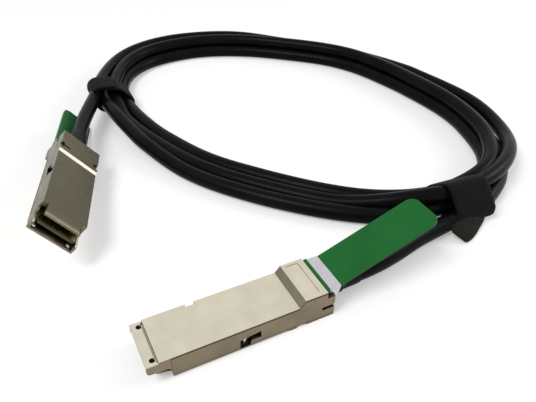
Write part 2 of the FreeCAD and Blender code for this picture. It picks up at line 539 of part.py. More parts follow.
def oval_point(degrees):
    """Point of the coil's innermost centreline at an angle about its centre."""
    angle = math.radians(degrees)
    radius = COIL_RADIUS + sum(size * math.cos(n * (angle - phase)) for n, size, phase in COIL_OVAL)
    return Vector(COIL_CENTRE[0] + radius * math.cos(angle), COIL_CENTRE[1] + radius * math.sin(angle), 0)


def oval_outward(degrees):
    """Outward unit normal of the innermost centreline."""
    along = (oval_point(degrees + 0.3) - oval_point(degrees - 0.3)).normalize()
    return Vector(along.y, -along.x, 0)


def coil_shape_at(degrees):
    """Inner offset, outer offset, underside and top of the coil at an angle."""
    for before, after in zip(COIL_SHAPE, COIL_SHAPE[1:]):
        if before[0] >= degrees >= after[0]:
            share = (before[0] - degrees) / (before[0] - after[0])
            return [a + (b - a) * share for a, b in zip(before[1:], after[1:])]


def cable_coil():
    """Closed outer shape of the coiled cable, lofted through sections round the oval."""
    angles = []
    for before, after in zip(COIL_SHAPE, COIL_SHAPE[1:]):
        count = math.ceil((before[0] - after[0]) / COIL_SECTION_STEP)
        angles += [before[0] + (after[0] - before[0]) * i / count for i in range(count)]
    angles.append(COIL_SHAPE[-1][0])
    wires = []
    for degrees in angles:
        inner, outer, low, top = coil_shape_at(degrees)
        c = min(COIL_CHAMFER, (top - low) / 3)
        base, out = oval_point(degrees), oval_outward(degrees)
        ring = [
            (inner + c, low), (outer - c, low), (outer, low + c), (outer, top - c),
            (outer - c, top), (inner + c, top), (inner, top - c), (inner, low + c),
        ]
        points = [base + out * o + Vector(0, 0, z) for o, z in ring]
        wires.append(Part.makePolygon(points + points[:1]))
    return Part.makeLoft(wires, True, True, True)


def strap(degrees, width, inner, outer, top):
    """A strap closed round the coil, its section a rounded rectangle."""
    base, out = oval_point(degrees), oval_outward(degrees)
    along = Vector(-out.y, out.x, 0)
    frame = FreeCAD.Placement(base, FreeCAD.Rotation(out, along, Vector(0, 0, 1), "XYZ"))
    t = TIE_THICKNESS
    low = TIE_THICKNESS

    def rounded(x0, x1, z0, z1, r):
        block = box(x0, x1, -width / 2, width / 2, z0, z1)
        return block.makeFillet(r, [e for e in block.Edges if e.BoundBox.YLength > width - 0.1])

    ring = rounded(inner - t, outer + t, low - t, top + t, TIE_CORNER + t)
    ring = ring.cut(rounded(inner, outer, low, top, TIE_CORNER))
    ring.Placement = frame
    return ring


def tie_tail():
    """Free end of the right tie, from the strap's outer side down to the table."""
    sections = []
    for low, high in TIE_TAIL_EDGES:
        slope = (high - low).normalize()
        across = TIE_TAIL_LEVEL.cross(slope).normalize() * (TIE_THICKNESS / 2)
        corners = [low - across, high - across, high + across, low + across]
        sections.append(Part.makePolygon(corners + corners[:1]))
    return Part.makeLoft(sections, True, True)


def main():
    os.makedirs("parts", exist_ok=True)
    nodes = {}
    raise_a = FreeCAD.Placement(Vector(0, 0, BLOCK_DROP), FreeCAD.Rotation())
    place_b = FreeCAD.Placement(PLUG_B_ORIGIN, FreeCAD.Rotation(PLUG_B_YAW, PLUG_B_PITCH, PLUG_B_ROLL))
    for label, placement, angle in (("a", raise_a, TAB_ANGLE_A), ("b", place_b, TAB_ANGLE_B)):
        slider = release_slider()
        spring = return_spring()
        pieces = {
            "bottom_housing": bottom_housing(),
            "top_cover": top_cover(),
            "paddle_card": paddle_card(),
            "contact_pads": contact_pads(),
            "memory_chip": memory_chip(),
            "twinax_pairs": twinax_pairs(),
            "crimp_ferrule": crimp_ferrule(),
            "cable_boot": cable_boot(),
            "release_slider": slider,
            "pull_tab": pull_tab(angle, slider),
            "return_spring_left": both_sides(spring)[0],
            "return_spring_right": both_sides(spring)[1],
        }
        for name, shape in pieces.items():
            moved = shape.copy()
            moved.Placement = placement.multiply(moved.Placement)
            nodes["plug_" + label + "_" + name] = moved
    leads = {}
    for label, placement, route in (("a", raise_a, LEAD_A_ROUTE), ("b", place_b, LEAD_B_ROUTE)):
        start = placement.multVec(Vector(CABLE_START_X, 0, CABLE_Z))
        outside = placement.multVec(Vector(BOOT_END_X + CABLE_STRAIGHT, 0, CABLE_Z))
        leads[label] = tube([start, outside] + route, CABLE_RADIUS, "lead " + label)
    nodes["cable_lead_a"] = leads["a"]
    nodes["cable_lead_b"] = leads["b"]
    nodes["cable_coil"] = cable_coil()
    nodes["tie_left"] = strap(TIE_LEFT_ANGLE, TIE_LEFT_WIDTH, *TIE_LEFT_INSIDE)
    nodes["tie_right"] = strap(TIE_RIGHT_ANGLE, TIE_RIGHT_WIDTH, *TIE_RIGHT_INSIDE).fuse(tie_tail())
    for name, shape in nodes.items():
        box_ = shape.BoundBox
        print(name, "solids", len(shape.Solids), "valid", shape.isValid(), "volume", round(shape.Volume, 1),
              "z", round(box_.ZMin, 2), round(box_.ZMax, 2))
        shape.exportStep("parts/" + name + ".step")


main()
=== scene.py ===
# %% [markdown]
# # A direct attach copper cable, dressed for its portrait
#
# The object is a short network lead: a metal plug with a green pull tab on each end of a
# black round cable, which lies in an oval coil held by two hook-and-loop ties.
# The solid model fixes every place and size, so this lesson only dresses it: it loads the
# frame, lays the cable as one smooth curve, wraps the ties, softens the edges that a real
# casting or moulding never has sharp, and gives each piece a finish of its own.

# %% Load the frame and keep its box
import json
import math
import random

import bmesh
import bpy
import mathutils
from mathutils import Matrix, Vector

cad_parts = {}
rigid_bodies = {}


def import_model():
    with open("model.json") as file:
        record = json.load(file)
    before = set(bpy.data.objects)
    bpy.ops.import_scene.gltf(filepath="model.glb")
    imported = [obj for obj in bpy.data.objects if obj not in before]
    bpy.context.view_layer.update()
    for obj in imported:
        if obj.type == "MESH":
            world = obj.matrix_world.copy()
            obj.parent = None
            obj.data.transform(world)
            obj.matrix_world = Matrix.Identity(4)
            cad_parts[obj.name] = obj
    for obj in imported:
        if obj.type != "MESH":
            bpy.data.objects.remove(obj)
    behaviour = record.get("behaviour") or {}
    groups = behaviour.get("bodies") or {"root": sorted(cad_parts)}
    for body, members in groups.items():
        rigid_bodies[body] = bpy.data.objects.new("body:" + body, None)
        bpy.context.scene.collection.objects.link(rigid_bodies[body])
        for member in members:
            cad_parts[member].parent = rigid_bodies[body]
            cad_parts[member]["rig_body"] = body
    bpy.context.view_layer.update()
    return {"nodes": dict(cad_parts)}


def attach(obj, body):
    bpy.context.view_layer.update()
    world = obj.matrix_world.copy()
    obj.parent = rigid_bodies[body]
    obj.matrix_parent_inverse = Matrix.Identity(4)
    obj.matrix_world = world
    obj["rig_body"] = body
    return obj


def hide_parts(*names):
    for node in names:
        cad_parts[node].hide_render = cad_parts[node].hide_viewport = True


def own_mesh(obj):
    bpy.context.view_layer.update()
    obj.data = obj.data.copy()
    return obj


for leftover in list(bpy.data.objects):
    bpy.data.objects.remove(leftover)
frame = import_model()
NODES = frame["nodes"]
MM = 0.001


# %% [markdown]
# ## Where the camera stands
#
# A camera can be aimed with a constraint, but a matrix says the same thing with nothing
# left to solve: its three columns are the camera's right, its up and its back.
# The camera stands low over the front plug and looks down at the coil by 37 degrees.

# %% Camera
CAMERA_PLACE = Vector((-13.1, -115.0, 145.8)) * MM
LOOK = Vector((0.3565, 0.7142, -0.6023)).normalized()
CAMERA_RIGHT = Vector((0.8949, -0.4462, 0.0005)).normalized()
CAMERA_UP = CAMERA_RIGHT.cross(LOOK).normalized()
FOCAL_LENGTH = 37.61

camera_data = bpy.data.cameras.new("portrait_camera")
camera_data.lens = FOCAL_LENGTH
camera_data.sensor_width = 36.0
camera_data.clip_start = 0.005
camera_data.clip_end = 20.0
camera = bpy.data.objects.new("portrait_camera", camera_data)
columns = Matrix((CAMERA_RIGHT, CAMERA_UP, -LOOK)).transposed()
camera.matrix_world = Matrix.Translation(CAMERA_PLACE) @ columns.to_4x4()
bpy.context.scene.collection.objects.link(camera)
bpy.context.scene.camera = camera
print("camera looks down by", round(math.degrees(math.asin(-LOOK.z)), 1), "degrees")

# %% [markdown]
# ## The cable
#
# The real cable is one black jacket, 7 mm thick and stiff, that runs from plug to plug.
# It could be a mesh tube, but a curve with a round bevel keeps its centreline, bends
# evenly and needs only the points that a hand would lay it through.
# The leads are a few points each. The coil is three and a half turns on one oval that
# widens and narrows a little, so a loop works its points out: each row below says how far
# round the strand has come, how far it lies outside the innermost turn, and how high.
# The rows are a fitted route, thinned out and rounded to half a millimetre, with some moved.

# %% The route of the front lead
CABLE_RADIUS = 3.5 * MM
FRONT_LEAD = [
    (57.5, 0.0, 5.3), (72.0, 0.0, 5.3), (85.5, 0.0, 5.3), (98.5, 2.5, 4.5),
    (111.0, 6.0, 4.0), (124.0, 8.0, 3.5), (136.0, 9.0, 4.5), (146.0, 9.0, 5.0),
]

# %% The route of the back lead, straight out of the turned plug first
BACK_PLUG = Matrix.Translation(Vector((-9.8, 51.0, 21.4)) * MM) @ Matrix((
    (0.281547, 0.623440, -0.729405),
    (0.956614, -0.242328, 0.162124),
    (-0.074979, -0.743427, -0.664602),
)).to_4x4()
BACK_START = [BACK_PLUG @ (Vector((x, 0.0, 4.7)) * MM) for x in (57.5, 73.0, 85.6)]
BACK_LEAD = [(14.5, 143.5, 11.5), (19.0, 154.0, 11.0), (24.0, 164.5, 11.0)]

# %% The oval of the innermost turn
OVAL_CENTRE = Vector((118.9, 126.2, 0.0))
OVAL_RADIUS = 81.94
OVAL_WAVES = ((2, 19.87, 2.05), (3, 1.57, 0.58), (4, -4.64, 1.31))


def oval_point(angle):
    """A point of the innermost turn, in millimetres, at that angle in radians."""
    radius = OVAL_RADIUS + sum(high * math.cos(n * (angle - turn)) for n, high, turn in OVAL_WAVES)
    return OVAL_CENTRE + radius * Vector((math.cos(angle), math.sin(angle), 0.0))


def oval_outward(angle):
    """The direction that points straight out of the innermost turn at that angle."""
    along = (oval_point(angle + 0.004) - oval_point(angle - 0.004)).normalized()
    return Vector((along.y, -along.x, 0.0))


# %% How the strand lies, from the right tie round to the left tie
LAY = [
    # out of the right tie, round in the middle lane, and out to the outer lane at the left tie
    (-72, 14, 5), (-62, 8, 4), (-45, 3.5, 3.5), (-5, 7.5, 3.5), (30, 5.5, 3.5), (80, 6, 3.5), (110, 2.5, 3.5),
    (135, 6, 3.5), (149, 10.5, 6.5), (158, 12, 9.5), (180, 15, 6.5), (205, 14.5, 3.5), (240, 15, 3.5),
    (270, 14, 3.5), (284, 9.5, 5),
    # the innermost lane, flat on the table
    (290, 5.5, 4), (297, 2, 3.5), (315, -4, 3.5), (355, 0.5, 3.5), (390, -1.5, 3.5), (435, -1.5, 3.5),
    (470, -5, 3.5), (509, 0, 4.5), (537, 2.5, 3.5), (585, 0.5, 3.5), (625, 1.5, 3.5), (641, 2.5, 5),
    # on top of the others round the back, then down to the middle lane at the front left
    (648, 4, 9), (656, 3.5, 10), (665, 0.5, 9.5), (680, -1, 9.5), (718, 3.5, 9.5), (760, 1.5, 9.5),
    (795, 2, 9.5), (828, -1, 9.5), (857, 1, 9.5), (869, 4.5, 9), (882, 8, 4), (895, 8.5, 3.5),
    (935, 7.5, 3.5), (978, 8, 3.5), (986, 8, 5.5), (994, 9.5, 10), (1002, 10.5, 11),
    # over the tie, outermost round the right, and up onto the others to leave for the back plug
    (1016, 8.5, 11), (1024, 9, 9.5), (1034, 12, 5), (1050, 15.5, 5.5), (1080, 15.5, 6), (1105, 15, 3.5),
    (1135, 15, 3.5), (1150, 13, 5.5), (1165, 8.5, 9), (1180, 6.5, 9.5), (1215, 7, 10), (1229, 13, 11),
]
TURN_STEP = 6.0


def strand_at(angle):
    """How far out and how high the strand lies, that many degrees round."""
    for (a0, out0, up0), (a1, out1, up1) in zip(LAY, LAY[1:]):
        if angle <= a1:
            share = (angle - a0) / (a1 - a0)
            return out0 + share * (out1 - out0), up0 + share * (up1 - up0)
    return LAY[-1][1:]


# %% Work out the coil's turns
def coil_turns():
    """The points of the three and a half turns, in millimetres."""
    points = []
    first, last = LAY[0][0], LAY[-1][0]
    count = round((last - first) / TURN_STEP)
    for k in range(count + 1):
        degrees = first + k * (last - first) / count
        out, up = strand_at(degrees)
        turn = math.radians(degrees)
        points.append(oval_point(turn) + out * oval_outward(turn) + Vector((0.0, 0.0, up)))
    return points


turns = coil_turns()
cable_points = [Vector(p) * MM for p in FRONT_LEAD] + [p * MM for p in turns]
cable_points += [Vector(p) * MM for p in reversed(BACK_LEAD)] + list(reversed(BACK_START))
print("turns:", round((LAY[-1][0] - LAY[0][0]) / 360, 2), "points on the cable:", len(cable_points))


# %% Lay the cable as one smooth curve
# Blender grows a curve's box by the radius of its points, so the cable's radius stands
# there and the bevel depth is 1. The tube is the same either way.
POINTS_CARRY_RADIUS = 1.0


def smooth_line(name, points):
    """One open spline that runs smoothly near the points, with the cable's radius at each."""
    data = bpy.data.curves.new(name, "CURVE")
    data.dimensions = "3D"
    spline = data.splines.new("NURBS")
    spline.points.add(len(points) - 1)
    for place, point in zip(spline.points, points):
        place.co = (*point, 1.0)
        place.radius = CABLE_RADIUS
    spline.order_u = 3
    spline.use_endpoint_u = True
    data.resolution_u = 4
    return data


cable_data = smooth_line("cable_jacket", cable_points)
cable_data.bevel_depth = POINTS_CARRY_RADIUS
cable_data.bevel_resolution = 8
cable_data.use_fill_caps = True
cable = bpy.data.objects.new("cable_jacket", cable_data)
bpy.context.scene.collection.objects.link(cable)
CABLE_LENGTH = sum((b - a).length for a, b in zip(cable_points, cable_points[1:]))
print("the runs add up to", round(CABLE_LENGTH, 3), "m")


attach(cable, "cable_assembly")
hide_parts("cable_lead_a", "cable_lead_b", "cable_coil")

# %% [markdown]
# ## Helpers for the finishes
#
# Every finish is a Principled surface with its numbers on the sockets themselves, and a
# few nodes in front of it for what varies over the surface: colour, roughness and relief.
# The patterns read Object coordinates in metres, so their scales are real sizes: a scale
# of 1000 puts one feature about every millimetre.

# %% A surface and the nodes that feed it
def new_surface(name, colour, roughness, metallic=0.0, **sockets):
    """A material with one Principled surface, and its node tree."""
    material = bpy.data.materials.new(name)
    material.use_nodes = True
    tree = material.node_tree
    surface = tree.nodes["Principled BSDF"]
    surface.inputs["Base Color"].default_value = (*colour, 1.0)
    surface.inputs["Roughness"].default_value = roughness
    surface.inputs["Metallic"].default_value = metallic
    for socket, value in sockets.items():
        surface.inputs[socket.replace("_", " ")].default_value = value
    return material, tree, surface


def cloud(tree, scale, detail=3.0, stretch=(1.0, 1.0, 1.0), seed=0.0):
    """A soft random pattern of that many waves a metre, stretched along the axes."""
    place = tree.nodes.new("ShaderNodeTexCoord")
    turn = tree.nodes.new("ShaderNodeMapping")
    turn.inputs["Scale"].default_value = stretch
    turn.inputs["Location"].default_value = (seed, seed * 0.7, seed * 1.3)
    noise = tree.nodes.new("ShaderNodeTexNoise")
    noise.inputs["Scale"].default_value = scale
    noise.inputs["Detail"].default_value = detail
    tree.links.new(place.outputs["Object"], turn.inputs["Vector"])
    tree.links.new(turn.outputs["Vector"], noise.inputs["Vector"])
    return noise.outputs["Fac"]


def between(tree, value, low, high, from_low=0.3, from_high=0.7):
    """The pattern spread over a range of numbers."""
    spread = tree.nodes.new("ShaderNodeMapRange")
    spread.inputs["From Min"].default_value = from_low
    spread.inputs["From Max"].default_value = from_high
    spread.inputs["To Min"].default_value = low
    spread.inputs["To Max"].default_value = high
    tree.links.new(value, spread.inputs["Value"])
    return spread.outputs["Result"]


def shades(tree, value, *stops):
    """The pattern as colours: each stop is a place from 0 to 1 and a colour."""
    ramp = tree.nodes.new("ShaderNodeValToRGB")
    elements = ramp.color_ramp.elements
    while len(elements) < len(stops):
        elements.new(0.5)
    for element, (place, colour) in zip(elements, stops):
        element.position = place
        element.color = (*colour, 1.0)
    tree.links.new(value, ramp.inputs["Fac"])
    return ramp.outputs["Color"]


def relief(tree, surface, value, height, strength=0.6, under=None):
    """Small bumps of that height in metres, on top of any relief already there."""
    bump = tree.nodes.new("ShaderNodeBump")
    bump.inputs["Strength"].default_value = strength
    bump.inputs["Distance"].default_value = height
    tree.links.new(value, bump.inputs["Height"])
    if under is not None:
        tree.links.new(under, bump.inputs["Normal"])
    tree.links.new(bump.outputs["Normal"], surface.inputs["Normal"])
    return bump.outputs["Normal"]


# %% [markdown]
# ## The metal finishes
#
# The plug bodies are die castings under satin nickel. A shiny grey would look like chrome,
# so the colour is warm, the roughness drifts a little, and a fine grain breaks the gloss.
# The broad faces are linished and bright, and the narrow walls keep the duller cast skin,
# so the colour follows how far a face looks along the plug's own height.

# %% Nickel-plated casting
def plated_casting(name, plug, broad, wall, slope, seed=0.0):
    """Satin plating with painted light and shade: a tone each for the broad faces, the walls and the slopes
    along the plug, and painted shade in its recesses.
    """
    material, tree, surface = new_surface(name, broad, 0.36, metallic=1.0)
    normal = tree.nodes.new("ShaderNodeNewGeometry").outputs["Normal"]

    def looks_along(axis):
        """How far the face looks along one of the plug's own axes, either way."""
        direction = (plug.to_3x3() @ Vector(axis)).normalized()
        dot = tree.nodes.new("ShaderNodeVectorMath")
        dot.operation = "DOT_PRODUCT"
        dot.inputs[1].default_value = direction
        size = tree.nodes.new("ShaderNodeMath")
        size.operation = "ABSOLUTE"
        tree.links.new(normal, dot.inputs[0])
        tree.links.new(dot.outputs["Value"], size.inputs[0])
        return size.outputs["Value"]

    def mixed(share, first, second):
        mix = tree.nodes.new("ShaderNodeMix")
        mix.data_type = "RGBA"
        tree.links.new(share, mix.inputs["Factor"])
        for socket, colour in ((mix.inputs["A"], first), (mix.inputs["B"], second)):
            if isinstance(colour, tuple):
                socket.default_value = (*colour, 1.0)
            else:
                tree.links.new(colour, socket)
        return mix.outputs["Result"]

    patches = cloud(tree, 150.0, 4.0, seed=seed)
    drift = tuple(0.90 * c for c in broad)
    wall_drift = tuple(1.30 * c for c in wall)
    broad_tone = shades(tree, patches, (0.30, drift), (0.70, broad))
    wall_tone = shades(tree, patches, (0.30, wall), (0.72, wall_drift))
    # painted light and shade: faces along the plug's height take the broad tone, walls the wall tone, faces
    # turned along its length the slope tone
    flat = between(tree, looks_along((0, 0, 1)), 0.0, 1.0, 0.30, 0.80)
    along = looks_along((1, 0, 0))
    sloped = between(tree, along, 0.0, 1.0, 0.15, 0.32)
    square_on = between(tree, along, 0.0, 1.0, 0.90, 0.97)
    slope_tone = mixed(square_on, slope, wall_tone)
    painted_light_tint = mixed(sloped, mixed(flat, wall_tone, broad_tone), slope_tone)
    # painted shade: recesses and seams darken towards a tenth of the wall tone, from ambient occlusion
    recess = tree.nodes.new("ShaderNodeAmbientOcclusion")
    recess.inputs["Distance"].default_value = 0.0035
    recess.samples = 8
    painted_recess_shade = between(tree, recess.outputs["AO"], 1.0, 0.0, 0.25, 0.85)
    tree.links.new(mixed(painted_recess_shade, painted_light_tint, tuple(0.10 * c for c in wall)), surface.inputs["Base Color"])
    rough = between(tree, cloud(tree, 420.0, 5.0, seed=seed + 2), 0.30, 0.44)
    tree.links.new(rough, surface.inputs["Roughness"])
    grain = relief(tree, surface, cloud(tree, 3200.0, 2.0, seed=seed), 0.00003, 0.35)
    relief(tree, surface, cloud(tree, 90.0, 2.0, seed=seed), 0.00025, 0.22, grain)
    return material


FRONT_PLUG = Matrix.Translation(Vector((0.0, 0.0, 0.6)) * MM)
# Painted light and shade: lit cream for the cover's top and for a painted highlight on the housing's slopes,
# shaded greys for the housing's underside, the walls and the cover's slopes.
LIT_CREAM, SHADED_UNDERSIDE_GREY, SHADED_WALL_BROWN = (0.66, 0.62, 0.50), (0.15, 0.135, 0.088), (0.19, 0.155, 0.105)
# Painted shade: the back plug's copy is darker still on its turned-up underside and its walls.
SHADED_COVER_SLOPE, BACK_WALL_SHADE = (0.225, 0.20, 0.14), (0.15, 0.135, 0.09)
BACK_UNDERSIDE_SHADE = tuple(0.85 * c for c in SHADED_UNDERSIDE_GREY)
cover_finish = {
    "a": plated_casting("cover_plating_front", FRONT_PLUG, LIT_CREAM, SHADED_WALL_BROWN, SHADED_COVER_SLOPE),
    "b": plated_casting("cover_plating_back", BACK_PLUG, LIT_CREAM, SHADED_WALL_BROWN, SHADED_COVER_SLOPE, seed=3.0),
}
base_finish = {
    "a": plated_casting("base_plating_front", FRONT_PLUG, SHADED_UNDERSIDE_GREY, SHADED_WALL_BROWN, LIT_CREAM, seed=1.0),
    "b": plated_casting("base_plating_back", BACK_PLUG, BACK_UNDERSIDE_SHADE, BACK_WALL_SHADE, LIT_CREAM, seed=4.0),
}


# %% Polished spring steel, gold and foil
def sheet_metal(name, colour, roughness, stretch=(1.0, 1.0, 1.0), seed=0.0):
    """Rolled metal with fine drawn lines."""
    material, tree, surface = new_surface(name, colour, roughness, metallic=1.0)
    lines = cloud(tree, 900.0, 3.0, stretch, seed)
    dark = tuple(0.86 * c for c in colour)
    tree.links.new(shades(tree, lines, (0.35, dark), (0.65, colour)), surface.inputs["Base Color"])
    tree.links.new(between(tree, lines, roughness * 0.8, roughness * 1.3), surface.inputs["Roughness"])
    relief(tree, surface, lines, 0.00002, 0.3)
    return material


polished_steel = sheet_metal("polished_steel", (0.60, 0.59, 0.61), 0.20, (0.25, 3.0, 1.0))
gold_contacts = sheet_metal("gold_contacts", (0.86, 0.60, 0.22), 0.22, seed=1.0)
shield_foil = sheet_metal("shield_foil", (0.62, 0.62, 0.60), 0.30, seed=2.0)

# %% [markdown]
# ## The plastic, rubber and board finishes
#
# The tab is a soft vinyl moulding: an even green with a fine satin grain. The jacket and
# the boot are black, but black is never 0: a dusty grey film lies on them unevenly.
# The board is olive where its solder mask covers the copper planes.


# %% A moulded finish in one colour with a grain
def moulded(name, colour, roughness, drift=0.12, grain=1800.0, depth=0.00004, seed=0.0, **sockets):
    """A moulding whose colour drifts a little, with a spark-eroded grain."""
    material, tree, surface = new_surface(name, colour, roughness, **sockets)
    darker = tuple(c * (1.0 - drift) for c in colour)
    paler = tuple(c * (1.0 + drift) + 0.004 * drift for c in colour)
    tree.links.new(shades(tree, cloud(tree, 70.0, 4.0, seed=seed), (0.3, darker), (0.7, paler)),
                   surface.inputs["Base Color"])
    tree.links.new(between(tree, cloud(tree, 600.0, 3.0, seed=seed + 1), roughness * 0.85, roughness * 1.2),
                   surface.inputs["Roughness"])
    relief(tree, surface, cloud(tree, grain, 3.0, seed=seed), depth, 0.4)
    return material


green_vinyl = moulded("green_vinyl", (0.012, 0.138, 0.027), 0.42, drift=0.10, Specular_IOR_Level=0.12)
jacket_black = moulded("jacket_black", (0.0022, 0.0024, 0.0025), 0.30, drift=0.35, grain=1400.0,
                       depth=0.00003, seed=5.0, Specular_IOR_Level=0.055)
boot_rubber = moulded("boot_rubber", (0.0026, 0.0026, 0.0028), 0.44, drift=0.25, seed=6.0,
                      Specular_IOR_Level=0.08)
chip_black = moulded("chip_black", (0.02, 0.02, 0.022), 0.5, seed=7.0)
board_olive = moulded("board_olive", (0.038, 0.040, 0.012), 0.38, drift=0.2, grain=2500.0, seed=8.0)

# %% Hook-and-loop fabric
def loop_fabric(name, colour, seed=0.0):
    """A dense felt of tiny loops: rough, matt, with a sheen at the edges."""
    material, tree, surface = new_surface(name, colour, 0.92, Sheen_Weight=0.04, Sheen_Roughness=0.5,
                                          Specular_IOR_Level=0.1)
    fluff = cloud(tree, 1500.0, 5.0, seed=seed)
    pale = tuple(c * 2.1 + 0.003 for c in colour)
    tree.links.new(shades(tree, fluff, (0.35, colour), (0.72, pale)), surface.inputs["Base Color"])
    tufts = relief(tree, surface, fluff, 0.0003, 0.9)
    relief(tree, surface, cloud(tree, 350.0, 3.0, seed=seed + 1), 0.0004, 0.5, tufts)
    return material


tie_black = loop_fabric("tie_black", (0.0030, 0.0032, 0.0029))
tie_olive = loop_fabric("tie_olive", (0.0100, 0.0100, 0.0070), seed=2.0)

# %% Give every solid of the frame its finish
FINISHES = {
    "crimp_ferrule": polished_steel,
    "release_slider": polished_steel, "return_spring_left": polished_steel,
    "return_spring_right": polished_steel, "pull_tab": green_vinyl, "paddle_card": board_olive,
    "contact_pads": gold_contacts, "memory_chip": chip_black, "twinax_pairs": shield_foil,
    "cable_boot": boot_rubber,
}
for name, node in NODES.items():
    if name.startswith("plug_"):
        side, piece = name[5:6], name[7:]
        castings = {"top_cover": cover_finish[side], "bottom_housing": base_finish[side]}
        finish = castings.get(piece, FINISHES.get(piece))
    else:
        finish = tie_black if name.startswith("tie") else jacket_black
    for place in range(len(node.data.materials)):
        node.data.materials[place] = finish
print("finished", len(NODES), "solids")
cable.data.materials.append(jacket_black)

# %% [markdown]
# ## Softened edges
#
# A casting and a moulding have a small round on every edge, and it is the round that
# catches the light. A Bevel modifier could do it, but on a mesh of loose triangles it
# would bevel every seam. So a copy is merged, its flat faces are joined, and only the
# edges that really turn are bevelled. Weighted normals then keep the broad faces flat, so
# that only the narrow rounds are shaded as rounds.


# %% A softened copy of a solid
MERGE_DISTANCE = 0.004 * MM
FLAT_ANGLE = math.radians(1.0)


def softened(node_name, width, turn=15.0, steps=2):
    """A copy of a solid with rounded edges, which stands for it."""
    source = NODES[node_name]
    work = bmesh.new()
    work.from_mesh(source.data)
    bmesh.ops.remove_doubles(work, verts=work.verts, dist=MERGE_DISTANCE)
    bmesh.ops.dissolve_limit(work, angle_limit=FLAT_ANGLE, verts=work.verts, edges=work.edges)
    sharp = [e for e in work.edges if len(e.link_faces) == 2 and e.calc_face_angle() > math.radians(turn)]
    bmesh.ops.bevel(work, geom=sharp, offset=width, offset_type="OFFSET", affect="EDGES",
                    segments=steps, profile=0.5, material=-1, clamp_overlap=True)
    bmesh.ops.triangulate(work, faces=[f for f in work.faces if len(f.verts) > 4])
    data = bpy.data.meshes.new(node_name + "_softened")
    work.to_mesh(data)
    work.free()
    data.shade_smooth()
    data.set_sharp_from_angle(angle=math.radians(turn))
    data.materials.append(source.data.materials[0])
    piece = bpy.data.objects.new(node_name + "_softened", data)
    bpy.context.scene.collection.objects.link(piece)
    level = piece.modifiers.new("level_faces", "WEIGHTED_NORMAL")
    level.weight = 100
    level.keep_sharp = True
    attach(piece, source["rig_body"])
    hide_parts(node_name)
    print(node_name, "softened:", len(data.polygons), "faces")
    return piece


for side in "ab":
    softened(f"plug_{side}_bottom_housing", 0.16 * MM)
    softened(f"plug_{side}_top_cover", 0.16 * MM)
    softened(f"plug_{side}_pull_tab", 0.28 * MM, steps=3)
    softened(f"plug_{side}_release_slider", 0.08 * MM)

# %% [markdown]
# ## The return springs
#
# Each slider is held forward by two small springs inside the housing, and on the real plug they close up as
# the tab is pulled: from 7 mm at rest to a little under 4 mm when the slider is fully back. Here a merged
# copy of each spring, in polished steel, stands for it on the cable's body and keeps its rest length.

# %% A merged copy of each spring
for side, plug in (("a", FRONT_PLUG), ("b", BACK_PLUG)):
    for hand in ("left", "right"):
        node_name = f"plug_{side}_return_spring_{hand}"
        work = bmesh.new()
        work.from_mesh(NODES[node_name].data)
        bmesh.ops.remove_doubles(work, verts=work.verts, dist=MERGE_DISTANCE / 2)
        data = bpy.data.meshes.new(node_name + "_wound")
        work.to_mesh(data)
        work.free()
        data.shade_smooth()
        data.materials.append(polished_steel)
        spring = bpy.data.objects.new(node_name + "_wound", data)
        bpy.context.scene.collection.objects.link(spring)
        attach(spring, "cable_assembly")
        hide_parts(node_name)
        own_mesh(spring)

# %% [markdown]
# ## The two ties
#
# A hook-and-loop tie is a flat strap, pulled round the bundle and pressed onto itself.
# A ring would be quicker, but a strap shows its overlap and its end, so it is built as
# one strip that is led round the outside of the strands a little more than once.
# The strip is a grid whose rows are led from place to place, never below the table.


# %% The line that a strap takes round the strands
STRAP_THICKNESS = 1.1
STRAP_SLACK = 0.15
OVERLAP_LIFT = STRAP_THICKNESS * 1.02


def strap_line(strands, turns_round, begin, pieces=40):
    """Places (out, up) round the strands, starting at that share of the way round."""
    reach = CABLE_RADIUS / MM + STRAP_SLACK + STRAP_THICKNESS / 2
    rim = [Vector((o + reach * math.cos(a), z + reach * math.sin(a)))
           for o, z in strands for a in (k * math.pi / 18 for k in range(36))]
    order = mathutils.geometry.convex_hull_2d(rim)
    loop = [rim[i] for i in order]
    loop.append(loop[0])
    steps = [(b - a).length for a, b in zip(loop, loop[1:])]
    total = sum(steps)
    line = []
    for k in range(round(pieces * turns_round) + 1):
        share = begin + k / pieces
        want = (share % 1.0) * total
        for a, b, step in zip(loop, loop[1:], steps):
            if want <= step:
                break
            want -= step
        spot = a.lerp(b, want / step)
        middle = sum(loop[:-1], Vector((0.0, 0.0))) / (len(loop) - 1)
        lift = min(OVERLAP_LIFT, OVERLAP_LIFT * max(0.0, k / pieces - 0.8) / 0.2)
        spot = spot + (spot - middle).normalized() * lift
        line.append(Vector((spot.x, max(spot.y, STRAP_THICKNESS / 2))))
    return line


